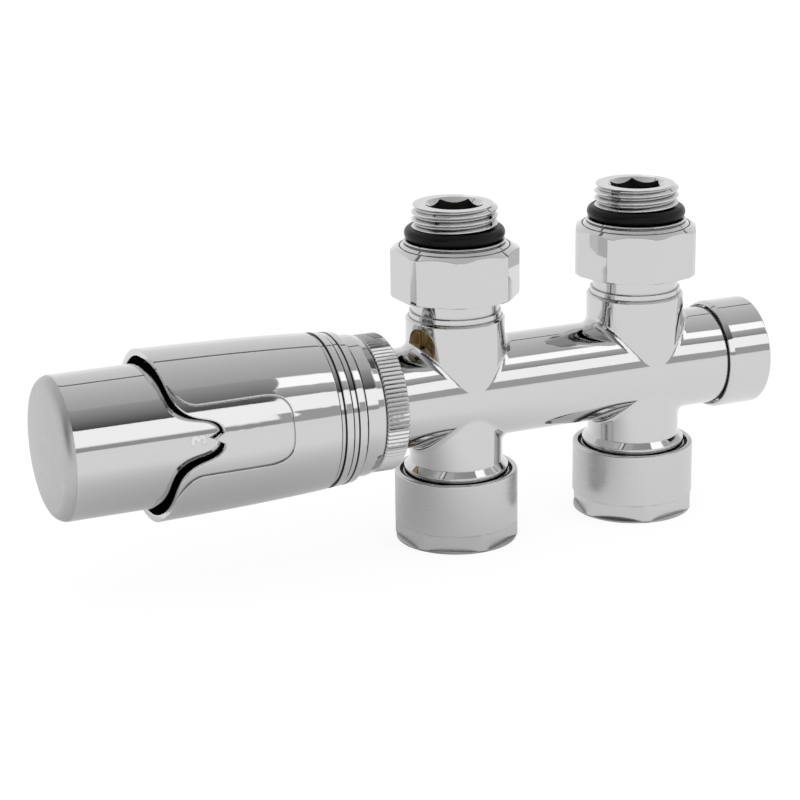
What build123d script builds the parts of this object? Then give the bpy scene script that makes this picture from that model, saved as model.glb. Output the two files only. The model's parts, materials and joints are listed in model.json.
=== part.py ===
from build123d import *
import os
from math import cos, pi, radians, sin, sqrt, tan

# A twin-port radiator valve block: a chrome-plated casting with two union nuts and threaded nipples
# on top, two compression nuts below, a thermostatic insert with its control head on the left and a
# lockshield under a round cap on the right. Millimetres, +Z up. The origin lies midway between the
# two pipes, on the plane of the compression nuts' lower faces. Heights named "above the axis" are
# measured from the body's horizontal axis.

os.makedirs("parts", exist_ok=True)

# Layout
port_spacing = 50.0
foot_rise = 6.5           # from the base plane to the ends of the lower ports

# Clearances
run = 0.06          # radial play of pieces that turn or slide in each other
fitted = 0.05       # radial play of pieces that are screwed or pushed home
face_gap = 0.1      # axial play between faces that move past each other
overrun = 2.0       # how far a cut runs past the material

# Body casting
tube_r = 12.4
tube_left_reach = 20.0    # end faces, from the ports' axes
tube_right_reach = 21.1
tube_edge = 0.85          # rounding of the right end
upper_port_inset = 0.25   # port's radius under the tube's
upper_port_rise = 19.4    # above the axis
upper_port_edge = 0.5
collar_inset = 0.9
collar_height = 1.3
neck_undercut = 0.78      # under the thread
neck_height = 4.6
spigot_r = 11.46          # thread of the upper ports, as a plain cylinder
spigot_height = 6.2
lower_port_inset = 0.9
lower_port_drop = 17.4    # below the axis
foot_flare = 0.8
foot_collar_inset = 0.26
foot_collar_bevel = 0.6
foot_collar_height = 1.6
foot_thread_r = 13.16     # thread of the lower ports, as a plain cylinder
foot_thread_end = 31.0    # below the axis
blend_r = 2.0

# Waterways
seat_inset = 2.0          # valve seats, from the ports' axes towards the middle
seat_bore_r = 5.0
seat_bore_length = 8.5
seat_chamber_r = 8.0
insert_depth = 9.0        # of the insert's screwed bore, from the tube's left end
bonnet_bore_r = 9.05
low_passage_r = 3.2
low_passage_place = 4.8   # from the seat, towards the middle
high_passage_r = 4.0
high_passage_place = 5.5  # from the seat, outwards
nose_bore_r = 8.0
nose_bore_depth = 7.5
nose_cone = 1.6
socket_r = 7.6            # takes a 15 mm pipe
socket_top = 17.5         # below the axis
pipe_seal_wall = 1.0
pipe_seal_length = 2.5
mouth_wall = 2.4
mouth_cone = 3.4

# Union nut, nipple and their rings
union_flats = 29.7
union_corners = 8
union_corner_trim = 0.37
union_gap = 3.95          # from the body's collar to the nut
union_height = 12.2
union_rim = 0.4
union_recess = 0.95
union_lip = 1.7
union_top_inset = 0.95    # inside the flats
union_bevel_angle = 30
union_foot_edge = 0.3
union_turn = {"left": 25.5, "right": 37.8}
stem_step = 0.92          # under the union nut's thread
thread_r = 10.48          # half-inch pipe thread, as a plain cylinder
thread_length = 5.4
thread_lead = 0.8
thread_lead_depth = 0.43
hex_key = 12.0
hex_turn = {"left": -25.0, "right": 10.0}
hex_depth = 10.0
hex_mouth_r = 7.6
nipple_bore_r = 5.6
flange_play = 0.25
flange_height = 0.9
flange_bevel = 0.6
flange_step = 0.8
flange_groove = 0.45
flange_groove_length = 0.25
flange_land = 0.3
ring_wire_r = 1.6
ring_seat_r = 9.05
nose_length = 4.5
nose_groove = 1.4         # width and depth
clip_wire = 0.9
clip_bite = 0.65
clip_inset = 0.2          # snap rings' play under the piece around them
clip_opening = 3.0

# Compression nut, olive and pipe seal
nut_wall = 2.08           # outside the thread
nut_cover = 0.6           # how far the nut reaches over the body's lower collar
nut_flats = 27.0
nut_hex_top = 4.6
nut_foot = 0.4            # round rim below the flats
nut_foot_inset = 0.24
nut_bore_play = 0.2
nut_mouth_wall = 1.34
nut_mouth_depth = 2.2
nut_floor = 2.6
nut_cone = 2.2
nut_edge = 0.5
nut_turn = {"left": 30.5, "right": 15.8}
olive_width = 2.0
olive_wall = 0.9
olive_rise = 0.8
olive_seat = 0.4

# Side screw in the left upper port
screw_angle = 200.0       # direction its head faces, counter-clockwise from +X seen from above
screw_drop = 5.9          # below the port's top
screw_head_r = 4.05
screw_recess_play = 0.35
screw_recess_floor = 1.2  # above the tube
screw_inset = 0.85        # of the head's face, inside the port's wall
screw_length = 3.0
screw_ring_inset = 1.9
screw_slot = 1.7
screw_slot_depth = 0.9
screw_feed_r = 1.6
screw_ring_wire_r = 0.6

# Thermostatic insert
bonnet_collar_r = 15.0    # M30 thread that carries the head, as a plain cylinder
bonnet_collar_length = 3.2
bonnet_nose_r = 9.5
bonnet_nose_length = 3.3
bonnet_tail_play = 0.1
bonnet_tail = 2.4
bonnet_groove_wall = 0.65
bonnet_ring_wire_r = 0.5
spring_room_r = 5.5
spring_room_wall = 1.0
spring_seat_length = 1.5
pin_r = 2.0
pin_stand = 11.0          # outer end of the stem, from the tube's end
lift = 1.8                # travel that closes the valve
shut_gap = 0.05
disc_r = 6.3
disc_thickness = 1.5
disc_recess = 0.5
carrier_r = 6.6
carrier_thickness = 1.6
stem_collar_play = 0.6
stem_collar = 1.0
spring_wire_r = 0.4
spring_r = 4.3
spring_turns = 4
stem_ring_wire_r = 0.7
stem_ring_inset = 3.2

# Control head: ring nut and base
head_nut_wall = 1.29      # outside the collar's thread
knurl_depth = 0.45
knurl_teeth = 96
head_nut_overlap = 0.4    # over the tube's end
head_nut_length = 6.3
head_nut_end = 0.9        # bevel of the teeth's left ends
head_nut_edge = 0.5
head_nut_lip = 1.4
neck_step = 0.85          # under the collar's thread
neck_play = 0.1
base_step_length = 1.7
base_step = 0.4
base_ring_width = 3.0
base_ring_rise = 0.2      # outside the drum
base_stop_rise = 0.98     # shoulder behind the drum
base_stop = 1.0
base_tube_wall = 1.56
clip_depth = 0.65
head_clip_width = 1.0
tube_end_wall = 0.5       # beyond the drum's snap ring
web_thickness = 2.0
web_place = 11.7          # from the neck's end

# Control head: sleeve
sleeve_gap = 0.7          # dark groove beside the base's ring
sleeve_length = 48.6
sleeve_curve = (           # (distance from the right end, how far outside the drum), from the lip
    (sleeve_length, 3.32),
    (33.6, 3.03),
    (18.6, 2.52),
    (8.6, 2.0),
    (0.0, 1.3),
)
sleeve_wall = 1.6
sleeve_seat = 4.6         # length of the sleeve's fit on the base
sleeve_rib = 0.35
groove_rise = 1.35        # floor of the two grooves, outside the drum
groove_reach = 3.0
groove_widths = (1.3, 1.7)
groove_places = (6.05, 2.75)  # from the right end
front_angle = 9.3         # pointer's place, upwards from the front
notch_half = (             # one half of the wave-shaped lip: (distance behind the lip, height)
    (12.9, 0.0),
    (12.65, 2.3),
    (11.1, 3.9),
    (7.8, 5.05),
    (4.8, 6.3),
    (2.7, 8.3),
    (1.8, 10.3),
    (1.3, 12.9),
    (0.8, 16.4),
    (0.0, 18.6),
)
pointer_tip = 10.4        # behind the lip
pointer_half = 1.4        # half width where it leaves the lip
pointer_root = 0.5
panel_depth = 0.4
panel_half = 8.2
panel_end = 30.0          # behind the lip
panel_straight = (23.0, 8.0)
panel_flare = ((4.0, 9.6), (1.4, 13.0), (-0.5, 17.0))

# Control head: dial drum
drum_r = 17.1
drum_wall = 2.52
drum_cover = 21.0         # how much of the drum lies in the sleeve
drum_reach = 21.0         # from the sleeve's lip to the rounding of the drum's end
drum_edge = 0.3
drum_round = 3.1
drum_crown = 1.2
drum_end_wall = 2.2
drum_bearing = 15.7       # length that runs on the base's tube
drum_relief_length = 13.3

# Control head: working parts
guide_wall = 1.85
guide_reach = 7.4         # of the cup beyond the lugs
guide_length = 21.0
guide_floor = 2.0
lug_width = 4.0
lug_inset = 0.32          # under the drum's bore
lug_length = 7.0
lug_gap = 1.3             # from the drum's snap ring, more than half the lift
lug_travel = 3.0
overload_room = 6.5
capsule_play = 0.15
capsule_length = 18.0
capsule_nose_r = 3.0
capsule_nose = 3.5
capsule_edge = 0.8
overload_wire_r = 0.7
overload_r = 8.5
overload_turns = 3
push_r = 2.5
push_plate_r = 8.0
push_plate = 1.8

# Lockshield
cap_cover = 1.3           # outside the tube
cap_overlap = 0.5         # over the tube's end
cap_length = 11.8
cap_wall = 1.9
cap_bevel = 1.2
cap_edge = 0.6
cap_mouth_play = 0.45     # counterbore round the end of the body's tube
cap_mouth = 1.9
cap_mouth_edge = 0.4
shield_step = 0.9         # spigot's thread, under the tube
shield_thread_length = 6.9
bush_r = 8.0
bush_length = 16.5
bush_inset = 0.4          # inside the spigot's end
spindle_r = 3.0
spindle_tail_r = 2.0
spindle_collar_r = 4.4
spindle_collar = 1.1
spindle_stand = 2.4       # beyond the bush
spindle_clip_r = 4.2
spindle_clip_bite = 0.5
spindle_clip_width = 0.6
spindle_clip_opening = 1.8
spindle_ring_wire_r = 0.7
key_slot = 1.2
key_slot_depth = 1.2
plug_lift = 2.0           # from rest to the seat, and as far back
plug_head_r = 6.4
plug_head = 1.8
plug_disc_r = 6.0
plug_disc = 1.5
plug_stud_r = 2.0
plug_wall = 2.9
plug_flats = 9.0          # hexagonal guide in the bush
plug_guide = 5.9          # how far the plug reaches into the bush at rest
bush_guide_length = 9.0
bush_room_r = 5.3
bush_room = 3.1
bush_ring_wire_r = 0.5
bush_ring_place = 2.4     # from the bush's inner end

# Places along the body, as distances from the middle
axis_height = foot_rise + foot_thread_end
tube_left = port_spacing / 2 + tube_left_reach
tube_right = port_spacing / 2 + tube_right_reach
seat_x = port_spacing / 2 - seat_inset
head_nut_right = tube_left - head_nut_overlap
head_nut_left = head_nut_right + head_nut_length
base_ring_left = head_nut_left + face_gap + base_step_length + base_ring_width
sleeve_right = base_ring_left + sleeve_gap
lip_left = sleeve_right + sleeve_length
drum_open_end = lip_left - drum_cover
drum_shoulder = lip_left + drum_reach
drum_clip_face = drum_open_end + drum_bearing
spigot_end_x = tube_right + shield_thread_length
bush_end = spigot_end_x - bush_inset
bush_left = bush_end - bush_length

# Radii that follow the pieces inside or around them
upper_port_r = tube_r - upper_port_inset
lower_port_r = tube_r - lower_port_inset
collar_r = upper_port_r - collar_inset
neck_r = spigot_r - neck_undercut
foot_collar_r = foot_thread_r - foot_collar_inset
foot_flare_r = foot_collar_r - foot_collar_bevel
shield_thread_r = tube_r - shield_step
pipe_seal_bore_r = socket_r + pipe_seal_wall
mouth_r = socket_r + mouth_wall
drum_bore_r = drum_r - drum_wall
bearing_r = drum_bore_r - run

# Planes and axes that the pieces are turned on
body_plane = Plane(origin=(0, 0, axis_height), x_dir=(1, 0, 0), z_dir=(0, -1, 0))
body_axis = Axis((0, 0, axis_height), (1, 0, 0))
port_x = {"left": -port_spacing / 2, "right": port_spacing / 2}
sides = ("left", "right")


def port_plane(side):
    """Upright plane through a port's axis, seen from the front."""
    return Plane(origin=(port_x[side], 0, 0), x_dir=(1, 0, 0), z_dir=(0, -1, 0))


def port_axis(side):
    """The vertical axis of a port."""
    return Axis((port_x[side], 0, 0), (0, 0, 1))


def turned(outline, plane, axis):
    """A piece turned about an axis from its closed outline."""
    with BuildPart() as piece:
        with BuildSketch(plane):
            with BuildLine():
                Polyline(*outline, close=True)
            make_face()
        revolve(axis=axis)
    return piece


def turned_on_body(outline):
    """A piece turned about the body's axis from (distance along X, radius) points."""
    return turned(outline, body_plane, body_axis)


def turned_on_port(outline, side):
    """A piece turned about a port's axis from (radius, height) points."""
    return turned(outline, port_plane(side), port_axis(side))


def ring(plane, axis, centre, wire_r):
    """A round-section ring about an axis, its section centred on a point of the plane."""
    with BuildPart() as piece:
        with BuildSketch(plane.shift_origin(plane.from_local_coords(centre))):
            Circle(wire_r)
        revolve(axis=axis)
    return piece


def save(piece, name):
    """Name a finished piece and write it."""
    piece.part.label = name
    export_step(piece.part, f"parts/{name}.step")


def coil(left, right, mean_r, wire_r, turns):
    """A compression spring on the body's axis between two faces, its ends just off them."""
    length = right - left - 2 * wire_r
    start = Vector(left + wire_r, 0, axis_height)
    with BuildPart() as spring:
        with BuildLine():
            path = Helix(length / turns, length, mean_r, center=start, direction=(1, 0, 0))
        with BuildSketch(Plane(origin=path @ 0, z_dir=path % 0)):
            Circle(wire_r - fitted)
        sweep(is_frenet=True)
    return spring


# Heights on the ports, from the base plane
collar_z = axis_height + upper_port_rise
neck_z = collar_z + collar_height
spigot_z = neck_z + neck_height
spigot_top_z = spigot_z + spigot_height
nose_bore_floor_z = spigot_top_z - nose_bore_depth
foot_z = axis_height - lower_port_drop
foot_collar_z = foot_z - foot_flare - foot_collar_bevel
foot_thread_z = foot_collar_z - foot_collar_height
foot_end_z = foot_rise


def upper_port_outline():
    """Half section of an upper port, from the body's axis to its threaded spigot."""
    return [
        (0, axis_height),
        (upper_port_r, axis_height),
        (upper_port_r, collar_z - upper_port_edge),
        (upper_port_r - upper_port_edge, collar_z),
        (collar_r, collar_z),
        (collar_r, neck_z),
        (neck_r, neck_z),
        (neck_r, spigot_z),
        (spigot_r, spigot_z + spigot_r - neck_r),
        (spigot_r, spigot_top_z),
        (0, spigot_top_z),
    ]


def lower_port_outline():
    """Half section of a lower port, from the body's axis to its threaded foot."""
    return [
        (0, axis_height),
        (lower_port_r, axis_height),
        (lower_port_r, foot_z),
        (foot_flare_r, foot_z - foot_flare),
        (foot_collar_r, foot_collar_z),
        (foot_collar_r, foot_thread_z),
        (foot_thread_r, foot_thread_z),
        (foot_thread_r, foot_end_z),
        (0, foot_end_z),
    ]


def upper_way_outline():
    """Half section of the bore that takes a nipple's nose, with its sealing cone."""
    return [
        (0, nose_bore_floor_z),
        (nose_bore_r, nose_bore_floor_z),
        (nose_bore_r, spigot_top_z - nose_cone),
        (nose_bore_r + nose_cone, spigot_top_z),
        (0, spigot_top_z),
    ]


def lower_way_outline():
    """Half section of the pipe socket, with its seal seat and conical mouth."""
    seal_z = foot_end_z + mouth_cone
    return [
        (0, foot_end_z),
        (mouth_r, foot_end_z),
        (pipe_seal_bore_r, seal_z),
        (pipe_seal_bore_r, seal_z + pipe_seal_length),
        (socket_r, seal_z + pipe_seal_length),
        (socket_r, axis_height - socket_top),
        (0, axis_height - socket_top),
    ]


def insert_way_outline(way, shoulder_x, end_x, bore_r):
    """Half section of the horizontal chambers on one side; way is -1 for left and 1 for right."""
    return [
        (way * (seat_x - seat_bore_length), 0),
        (way * (seat_x - seat_bore_length), seat_bore_r),
        (way * seat_x, seat_bore_r),
        (way * seat_x, seat_chamber_r),
        (way * shoulder_x, seat_chamber_r),
        (way * shoulder_x, bore_r),
        (way * end_x, bore_r),
        (way * end_x, 0),
    ]


screw_direction = Vector(cos(radians(screw_angle)), sin(radians(screw_angle)), 0)
screw_axis_point = Vector(port_x["left"], 0, collar_z - screw_drop)
screw_face = upper_port_r - screw_inset
screw_tip = screw_face - screw_length


def screw_plane(distance):
    """Plane across the side screw's axis at a distance from the port's axis."""
    return Plane(origin=screw_axis_point + screw_direction * distance, x_dir=(0, 0, 1), z_dir=screw_direction)


# The recess in front of the screw stops just above the tube
with BuildPart() as screw_recess:
    with BuildSketch(screw_plane(screw_face)):
        Circle(screw_head_r + screw_recess_play)
    extrude(amount=upper_port_r)
    with BuildSketch(Plane.YZ.offset(-2 * tube_left)):
        with Locations((0, axis_height)):
            Circle(tube_r + screw_recess_floor)
    extrude(amount=2 * tube_left, mode=Mode.SUBTRACT)

insert_shoulder = tube_left - insert_depth
with BuildPart() as valve_body:
    with BuildSketch(body_plane):
        with BuildLine():
            Polyline(
                (-tube_left, 0),
                (-tube_left, tube_r),
                (tube_right, tube_r),
                (tube_right, shield_thread_r),
                (spigot_end_x, shield_thread_r),
                (spigot_end_x, 0),
                close=True,
            )
        make_face()
    revolve(axis=body_axis)
    tube_rims = edges().filter_by(GeomType.CIRCLE).group_by(SortBy.RADIUS)[-1]
    fillet(tube_rims.sort_by(Axis.X)[-1], tube_edge)
    for side in sides:
        with BuildSketch(port_plane(side)):
            with BuildLine():
                Polyline(*upper_port_outline(), close=True)
            make_face()
        revolve(axis=port_axis(side))
        with BuildSketch(port_plane(side)):
            with BuildLine():
                Polyline(*lower_port_outline(), close=True)
            make_face()
        revolve(axis=port_axis(side))
    saddles = edges().filter_by(lambda e: e.geom_type not in (GeomType.CIRCLE, GeomType.LINE))
    fillet(saddles, blend_r)
    for side in sides:
        with BuildSketch(port_plane(side)):
            with BuildLine():
                Polyline(*upper_way_outline(), close=True)
            make_face()
        revolve(axis=port_axis(side), mode=Mode.SUBTRACT)
        with BuildSketch(port_plane(side)):
            with BuildLine():
                Polyline(*lower_way_outline(), close=True)
            make_face()
        revolve(axis=port_axis(side), mode=Mode.SUBTRACT)
    for way, shoulder_x, end_x, bore_r in (
        (-1, insert_shoulder, tube_left, bonnet_bore_r),
        (1, bush_left - face_gap, spigot_end_x, bush_r + fitted),
    ):
        with BuildSketch(body_plane):
            with BuildLine():
                Polyline(*insert_way_outline(way, shoulder_x, end_x, bore_r), close=True)
            make_face()
        revolve(axis=body_axis, mode=Mode.SUBTRACT)
        with BuildSketch(Plane.XY.offset(axis_height)):
            with Locations((way * (seat_x + high_passage_place), 0)):
                Circle(high_passage_r)
        extrude(amount=nose_bore_floor_z - axis_height, mode=Mode.SUBTRACT)
        with BuildSketch(Plane.XY.offset(axis_height - socket_top)):
            with Locations((way * (seat_x - low_passage_place), 0)):
                Circle(low_passage_r)
        extrude(amount=socket_top, mode=Mode.SUBTRACT)
    with BuildSketch(screw_plane(screw_tip)):
        Circle(screw_head_r + run)
    extrude(amount=screw_face - screw_tip, mode=Mode.SUBTRACT)
    with BuildSketch(screw_plane(0)):
        Circle(screw_feed_r)
    extrude(amount=screw_tip, mode=Mode.SUBTRACT)
    add(screw_recess.part, mode=Mode.SUBTRACT)
save(valve_body, "valve_body")

# Slotted screw that closes the drilled side way of the left port, and its seal
screw_groove_r = screw_head_r - 2 * screw_ring_wire_r
screw_ring_place = screw_face - screw_ring_inset
with BuildPart() as side_screw:
    with BuildSketch(screw_plane(screw_tip + face_gap)):
        Circle(screw_head_r)
    extrude(amount=screw_face - screw_tip - face_gap)
    with BuildSketch(screw_plane(screw_face)):
        Rectangle(2 * screw_head_r, screw_slot)
    extrude(amount=-screw_slot_depth, mode=Mode.SUBTRACT)
    with BuildSketch(screw_plane(screw_ring_place - screw_ring_wire_r)):
        Circle(screw_head_r)
        Circle(screw_groove_r, mode=Mode.SUBTRACT)
    extrude(amount=2 * screw_ring_wire_r, mode=Mode.SUBTRACT)
save(side_screw, "side_screw")

with BuildPart(screw_plane(screw_ring_place)) as side_screw_seal:
    Torus(screw_head_r - screw_ring_wire_r, screw_ring_wire_r - fitted)
save(side_screw_seal, "side_screw_seal")


# Union nuts with the nipples that they hold down
union_z = neck_z + union_gap
union_top_z = union_z + union_height
recess_z = union_top_z - union_recess
lip_z = recess_z - union_lip
union_corner_r = union_flats / 2 / cos(pi / union_corners) - union_corner_trim
union_top_r = union_flats / 2 - union_top_inset
union_recess_r = union_top_r - union_rim
union_bevel = (union_corner_r - union_top_r) * tan(radians(union_bevel_angle))
stem_r = spigot_r - stem_step


def make_union_nut(side):
    """Octagonal union nut: threaded below, with an inner lip that the nipple's wire ring carries."""
    with BuildPart() as nut:
        with BuildSketch(Plane.XY.offset(union_z)):
            with Locations((port_x[side], 0)):
                RegularPolygon(
                    union_flats / 2, union_corners, major_radius=False, rotation=union_turn[side]
                )
        extrude(amount=union_height)
        with BuildSketch(port_plane(side)):
            with BuildLine():
                Polyline(
                    (stem_r + run, recess_z),
                    (union_recess_r, recess_z),
                    (union_recess_r, union_top_z),
                    (union_top_r, union_top_z),
                    (union_corner_r, union_top_z - union_bevel),
                    (union_corner_r, union_z + union_foot_edge),
                    (union_corner_r - union_foot_edge, union_z),
                    (spigot_r + run, union_z),
                    (spigot_r + run, lip_z),
                    (stem_r + run, lip_z),
                    close=True,
                )
            make_face()
        revolve(axis=port_axis(side), mode=Mode.INTERSECT)
    return nut


nose_r = nose_bore_r - run
nose_groove_r = nose_bore_r - nose_groove
nipple_shoulder_z = spigot_top_z + face_gap
nose_cone_z = nipple_shoulder_z - nose_cone
nose_end_z = nose_cone_z - nose_length
nose_groove_z = nose_end_z + nose_groove
clip_top_z = lip_z - face_gap
clip_low_z = clip_top_z - clip_wire
clip_groove_r = stem_r - clip_bite
flange_r = union_recess_r - flange_play
flange_step_r = flange_r - flange_step
flange_groove_r = flange_step_r - flange_groove
flange_z = recess_z + face_gap
flange_groove_z = flange_z + flange_height + flange_bevel
flange_groove_top_z = flange_groove_z + flange_groove_length
flange_top_z = flange_groove_top_z + 2 * flange_land
thread_z = flange_top_z + 2 * ring_wire_r + fitted
nipple_top_z = thread_z + thread_length


def make_nipple(side):
    """Nipple: sealing cone, groove for the wire ring, collar, ring groove, thread and hexagon socket."""
    with BuildPart() as nipple:
        with BuildSketch(port_plane(side)):
            with BuildLine():
                Polyline(
                    (nipple_bore_r, nose_end_z),
                    (nose_r, nose_end_z),
                    (nose_r, nose_groove_z),
                    (nose_groove_r, nose_groove_z),
                    (nose_groove_r, nose_groove_z + nose_groove),
                    (nose_r, nose_groove_z + nose_groove),
                    (nose_r, nose_cone_z),
                    (nose_r + nose_cone, nipple_shoulder_z),
                    (stem_r, nipple_shoulder_z),
                    (stem_r, clip_low_z - fitted),
                    (clip_groove_r, clip_low_z - fitted),
                    (clip_groove_r, clip_top_z + fitted),
                    (stem_r, clip_top_z + fitted),
                    (stem_r, flange_z),
                    (flange_r, flange_z),
                    (flange_r, flange_z + flange_height),
                    (flange_step_r, flange_groove_z),
                    (flange_groove_r, flange_groove_z),
                    (flange_groove_r, flange_groove_top_z),
                    (flange_step_r, flange_top_z - flange_land),
                    (flange_step_r - flange_land, flange_top_z),
                    (ring_seat_r, flange_top_z),
                    (ring_seat_r, thread_z),
                    (thread_r, thread_z),
                    (thread_r, nipple_top_z - thread_lead),
                    (thread_r - thread_lead_depth, nipple_top_z),
                    (nipple_bore_r, nipple_top_z),
                    close=True,
                )
            make_face()
        revolve(axis=port_axis(side))
        with BuildSketch(Plane.XY.offset(nipple_top_z)):
            with Locations((port_x[side], 0)):
                RegularPolygon(hex_key / 2, 6, major_radius=False, rotation=hex_turn[side])
        extrude(amount=-hex_depth, mode=Mode.SUBTRACT)
        with BuildSketch(port_plane(side)):
            with BuildLine():
                Polyline(
                    (0, nipple_top_z),
                    (hex_mouth_r, nipple_top_z),
                    (0, nipple_top_z - hex_mouth_r),
                    close=True,
                )
            make_face()
        revolve(axis=port_axis(side), mode=Mode.SUBTRACT)
    return nipple


for side in sides:
    plane, axis = port_plane(side), port_axis(side)
    save(make_union_nut(side), f"union_nut_{side}")
    save(make_nipple(side), f"nipple_{side}")

    ring_centre = (ring_seat_r + ring_wire_r, flange_top_z + ring_wire_r)
    save(ring(plane, axis, ring_centre, ring_wire_r - fitted / 2), f"nipple_ring_{side}")

    nose_centre = (nose_groove_r + nose_groove / 2, nose_groove_z + nose_groove / 2)
    save(ring(plane, axis, nose_centre, (nose_groove - fitted) / 2), f"nose_seal_{side}")

    # Wire ring in the nipple's groove, open at the back, that carries the nut's lip
    with BuildPart() as nipple_clip:
        with BuildSketch(Plane.XY.offset(clip_low_z)):
            with Locations((port_x[side], 0)):
                Circle(spigot_r - clip_inset)
                Circle(clip_groove_r + fitted, mode=Mode.SUBTRACT)
            with Locations((port_x[side], spigot_r)):
                Rectangle(clip_opening, spigot_r, mode=Mode.SUBTRACT)
        extrude(amount=clip_wire)
    save(nipple_clip, f"nipple_clip_{side}")


# Compression nuts, olives and pipe seals
nut_r = foot_thread_r + nut_wall
nut_mouth_r = nut_r - nut_mouth_wall
nut_bore_r = socket_r + nut_bore_play
nut_top_z = foot_thread_z + nut_cover
nut_shoulder_z = nut_floor + nut_cone


def make_compression_nut(side):
    """Compression nut: round skirt over the foot thread, hexagon above a round rim, conical floor."""
    with BuildPart() as nut:
        with BuildSketch(port_plane(side)):
            with BuildLine():
                Polyline(
                    (nut_bore_r, 0),
                    (nut_r - nut_foot_inset, 0),
                    (nut_r - nut_foot_inset, nut_foot),
                    (nut_r, nut_foot),
                    (nut_r, nut_top_z),
                    (nut_mouth_r, nut_top_z),
                    (nut_mouth_r, nut_top_z - nut_mouth_depth),
                    (foot_thread_r + run, nut_top_z - nut_mouth_depth),
                    (foot_thread_r + run, nut_shoulder_z),
                    (nut_bore_r + nut_cone, nut_shoulder_z),
                    (nut_bore_r, nut_floor),
                    close=True,
                )
            make_face()
        revolve(axis=port_axis(side))
        fillet(edges().filter_by(GeomType.CIRCLE).group_by(Axis.Z)[-1], nut_edge)
        with BuildSketch(Plane.XY.offset(nut_foot)):
            with Locations((port_x[side], 0)):
                Circle(nut_r + overrun)
                RegularPolygon(
                    nut_flats / 2, 6, major_radius=False, rotation=nut_turn[side], mode=Mode.SUBTRACT
                )
        extrude(amount=nut_hex_top - nut_foot, mode=Mode.SUBTRACT)
    return nut


pipe_seal_z = foot_end_z + mouth_cone
olive_low_z = nut_floor + olive_rise
olive_inner_r = nut_bore_r + olive_rise - face_gap
olive_r = socket_r + olive_width
for side in sides:
    save(make_compression_nut(side), f"compression_nut_{side}")
    olive = turned_on_port(
        [
            (socket_r, olive_low_z),
            (olive_inner_r, olive_low_z),
            (olive_r, olive_low_z + olive_r - olive_inner_r),
            (olive_r, foot_end_z + olive_seat),
            (socket_r + olive_wall, pipe_seal_z - face_gap),
            (socket_r, pipe_seal_z - face_gap),
        ],
        side,
    )
    save(olive, f"olive_{side}")
    pipe_seal = turned_on_port(
        [
            (socket_r + fitted, pipe_seal_z + fitted),
            (pipe_seal_bore_r - fitted, pipe_seal_z + fitted),
            (pipe_seal_bore_r - fitted, pipe_seal_z + pipe_seal_length - fitted),
            (socket_r + fitted, pipe_seal_z + pipe_seal_length - fitted),
        ],
        side,
    )
    save(pipe_seal, f"pipe_seal_{side}")

# Thermostatic insert, screwed into the body's left end; its collar carries the control head
bonnet_shank_r = bonnet_bore_r - fitted
bonnet_tail_r = seat_chamber_r - bonnet_tail_play
collar_left = tube_left + bonnet_collar_length
nose_left = collar_left + bonnet_nose_length
shank_end = insert_shoulder + fitted
tail_end = shank_end - bonnet_tail
room_left = tube_left - spring_room_wall
stem_ring_r = pin_r + 2 * stem_ring_wire_r
bonnet_groove_right = tail_end + bonnet_groove_wall
bonnet_groove_left = bonnet_groove_right + 2 * bonnet_ring_wire_r
bonnet_groove_r = seat_chamber_r - 2 * bonnet_ring_wire_r
insert_bonnet = turned_on_body(
    [
        (-nose_left, pin_r + run),
        (-nose_left, bonnet_nose_r),
        (-collar_left, bonnet_nose_r),
        (-collar_left, bonnet_collar_r),
        (-tube_left, bonnet_collar_r),
        (-tube_left, bonnet_shank_r),
        (-shank_end, bonnet_shank_r),
        (-shank_end, bonnet_tail_r),
        (-bonnet_groove_left, bonnet_tail_r),
        (-bonnet_groove_left, bonnet_groove_r),
        (-bonnet_groove_right, bonnet_groove_r),
        (-bonnet_groove_right, bonnet_tail_r),
        (-tail_end, bonnet_tail_r),
        (-tail_end, spring_room_r),
        (-room_left, spring_room_r),
        (-room_left, pin_r + run),
        (-room_left - stem_ring_inset, pin_r + run),
        (-room_left - stem_ring_inset, stem_ring_r),
        (-room_left - stem_ring_inset - 2 * stem_ring_wire_r, stem_ring_r),
        (-room_left - stem_ring_inset - 2 * stem_ring_wire_r, pin_r + run),
    ]
)
save(insert_bonnet, "insert_bonnet")

bonnet_ring_centre = (-bonnet_groove_right - bonnet_ring_wire_r, seat_chamber_r - bonnet_ring_wire_r)
bonnet_seal = ring(body_plane, body_axis, bonnet_ring_centre, bonnet_ring_wire_r - fitted / 2)
save(bonnet_seal, "bonnet_seal")

stem_ring_centre = (-room_left - stem_ring_inset - stem_ring_wire_r, pin_r + stem_ring_wire_r)
stem_seal = ring(body_plane, body_axis, stem_ring_centre, stem_ring_wire_r - fitted / 2)
save(stem_seal, "stem_seal")

spring_seat = turned_on_body(
    [
        (-tail_end - spring_seat_length, pin_r + run),
        (-tail_end - spring_seat_length, spring_room_r - fitted),
        (-tail_end, spring_room_r - fitted),
        (-tail_end, pin_r + run),
    ]
)
save(spring_seat, "spring_seat")

# The stem at rest, open by its lift
disc_face = -seat_x - lift - shut_gap
carrier_face = disc_face - disc_thickness
pin_end_x = -tube_left - pin_stand
stem_collar_r = spring_room_r - stem_collar_play
stem_collar_left = -room_left + lift
stem_collar_right = stem_collar_left + stem_collar
valve_stem = turned_on_body(
    [
        (pin_end_x, 0),
        (pin_end_x, pin_r),
        (stem_collar_left, pin_r),
        (stem_collar_left, stem_collar_r),
        (stem_collar_right, stem_collar_r),
        (stem_collar_right, pin_r),
        (carrier_face - carrier_thickness, pin_r),
        (carrier_face - carrier_thickness, carrier_r),
        (carrier_face, carrier_r),
        (carrier_face, pin_r),
        (disc_face - disc_recess, pin_r),
        (disc_face - disc_recess, 0),
    ]
)
save(valve_stem, "valve_stem")

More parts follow.
